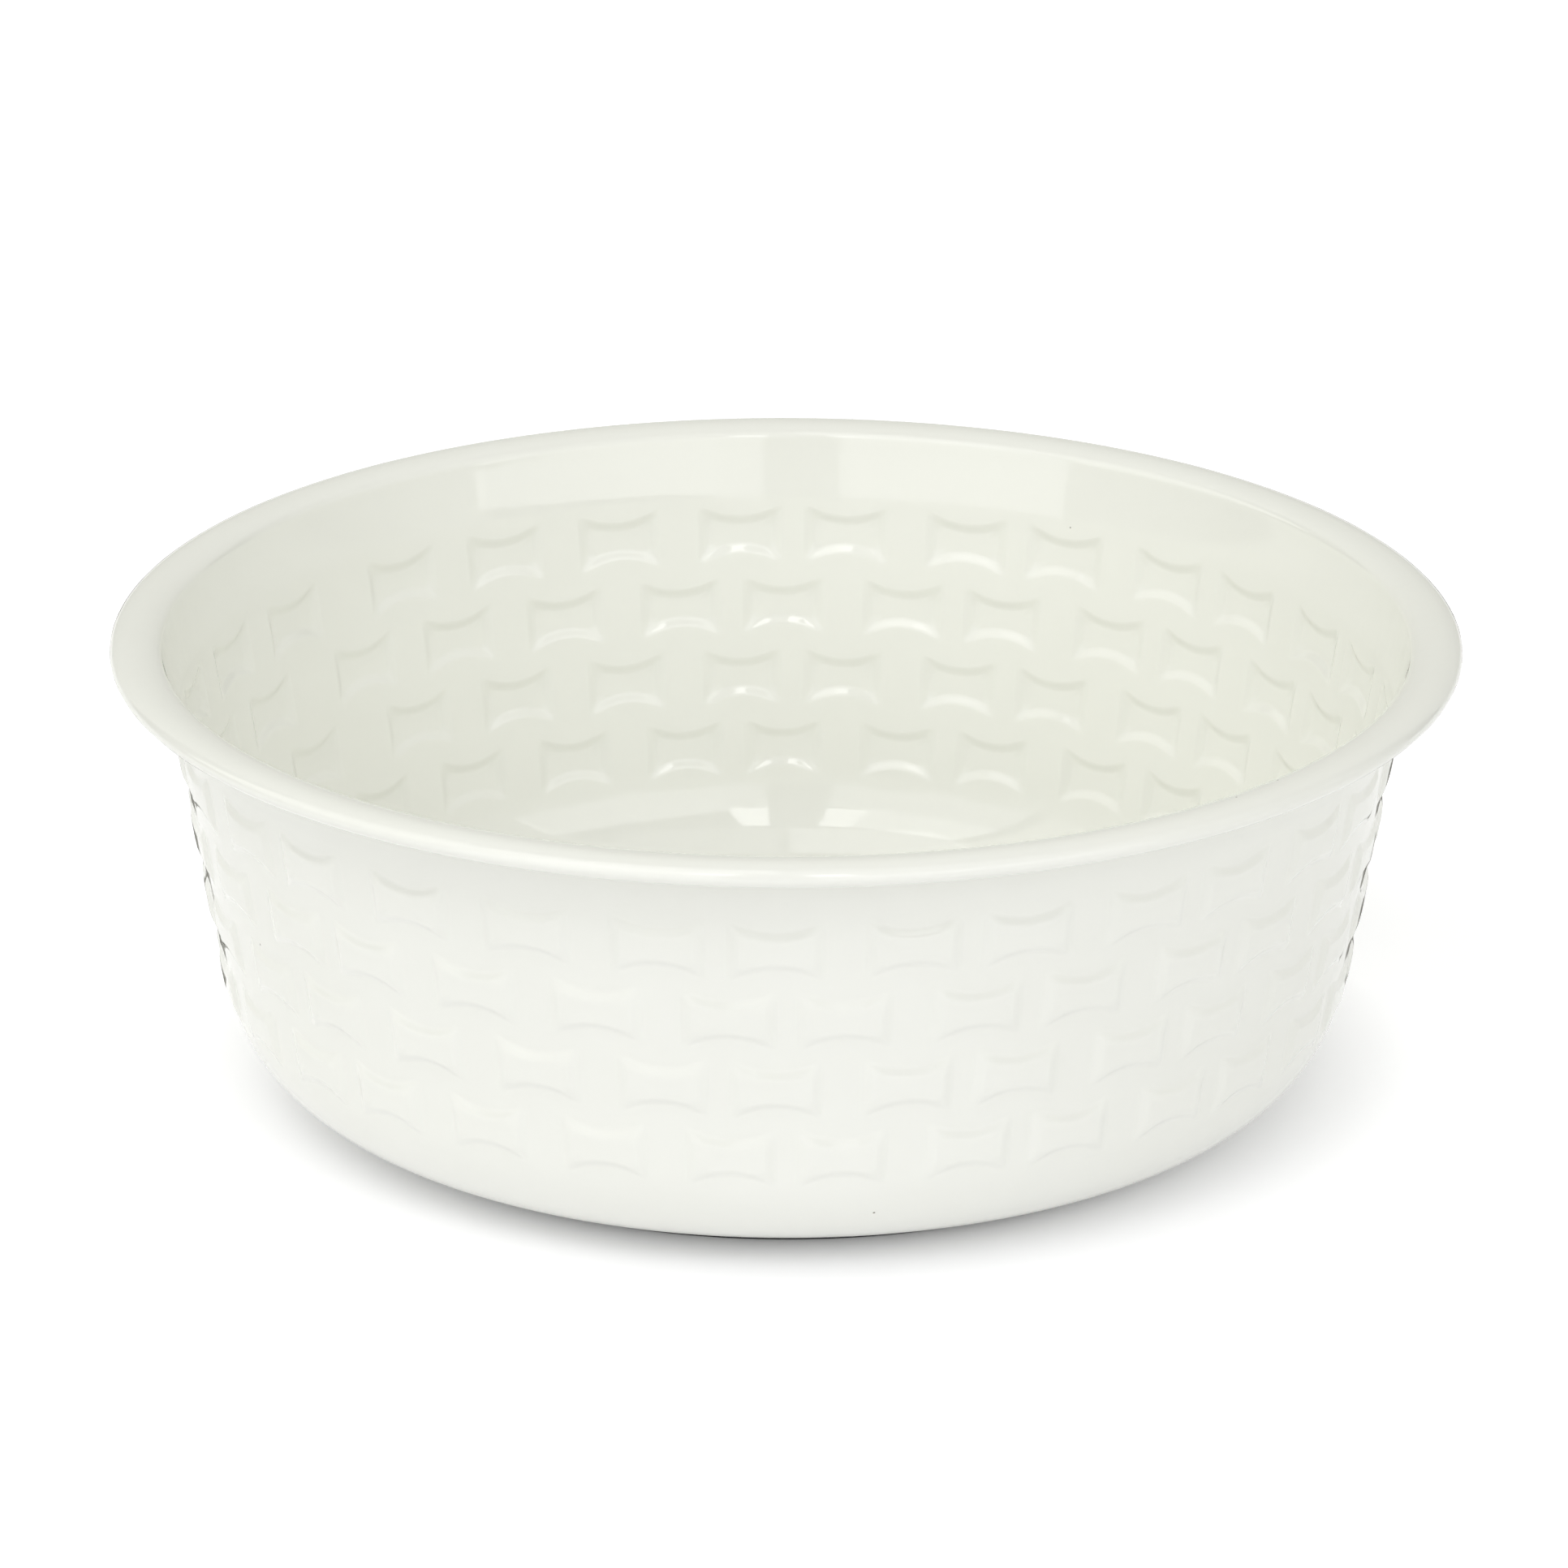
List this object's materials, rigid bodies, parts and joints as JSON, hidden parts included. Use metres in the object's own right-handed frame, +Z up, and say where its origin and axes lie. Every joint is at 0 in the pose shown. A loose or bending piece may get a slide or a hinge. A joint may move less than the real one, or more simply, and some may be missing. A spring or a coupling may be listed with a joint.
{
  "type": "pet bowl",
  "caption": "Round pressed-metal pet bowl with a rolled rim, an embossed basket-weave wall and a bonded rubber ring under the base that stops it sliding.",
  "frame": {"origin": "on the table under the middle of the bowl, in the plane of the rubber ring's lands", "axes": "+Z up along the bowl's axis; +X to the right and +Y away from a viewer who faces the bowl"},
  "size_m": [0.21, 0.21, 0.0744],
  "materials": {
    "enamelled_steel": "glossy cream enamel over pressed steel",
    "adhesive": "cured clear adhesive",
    "ring_rubber": "matt black moulded rubber"
  },
  "bodies": {
    "root": {"bowl_shell": "enamelled_steel", "bond_film": "adhesive", "nonslip_ring": "ring_rubber"}
  },
  "joints": []
}
